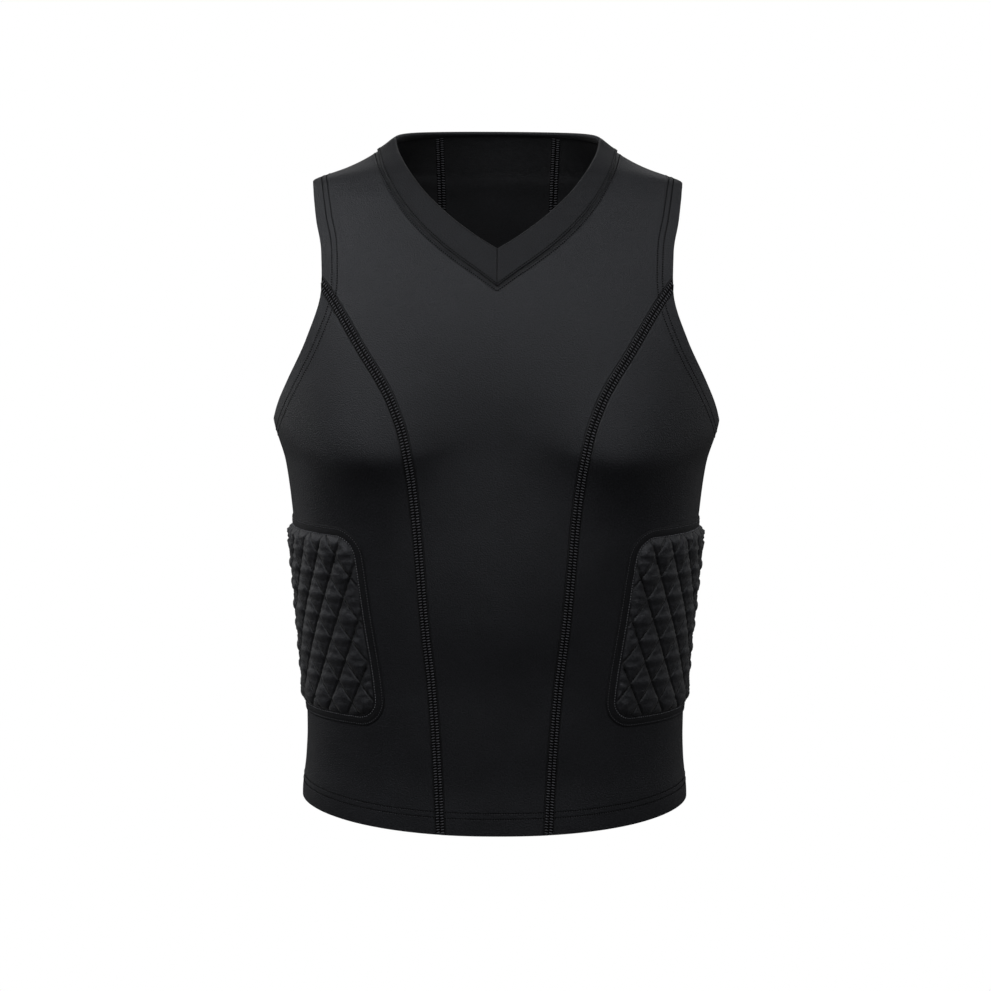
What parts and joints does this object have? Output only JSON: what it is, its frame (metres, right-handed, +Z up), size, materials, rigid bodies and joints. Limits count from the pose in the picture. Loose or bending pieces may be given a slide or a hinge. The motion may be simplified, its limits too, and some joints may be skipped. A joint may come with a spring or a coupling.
{
  "type": "padded shirt",
  "caption": "Sleeveless close-fitting sports shirt with a V neck, shaped panels and a quilted foam pad on each side of the waist, kept in its worn form.",
  "frame": {"origin": "midway between the two shoulders, at the height where the middle of the shoulder straps rests on the wearer", "axes": "+Z up along the body, -Y towards the wearer's front, +X towards the wearer's left"},
  "size_m": [0.3888, 0.2278, 0.5985],
  "materials": {
    "knit": "smooth stretch knit, slight sheen",
    "band_knit": "smooth stretch knit, folded",
    "pad_cloth": "quilted knit over foam",
    "border_tape": "matt sewn tape"
  },
  "bodies": {
    "root": {"front_panel": "knit", "side_front_left": "knit", "side_front_right": "knit", "side_back_left": "knit", "side_back_right": "knit", "back_panel": "knit", "neck_band": "band_knit", "pad_left": "pad_cloth", "pad_right": "pad_cloth", "pad_border_left": "border_tape", "pad_border_right": "border_tape"}
  },
  "joints": []
}
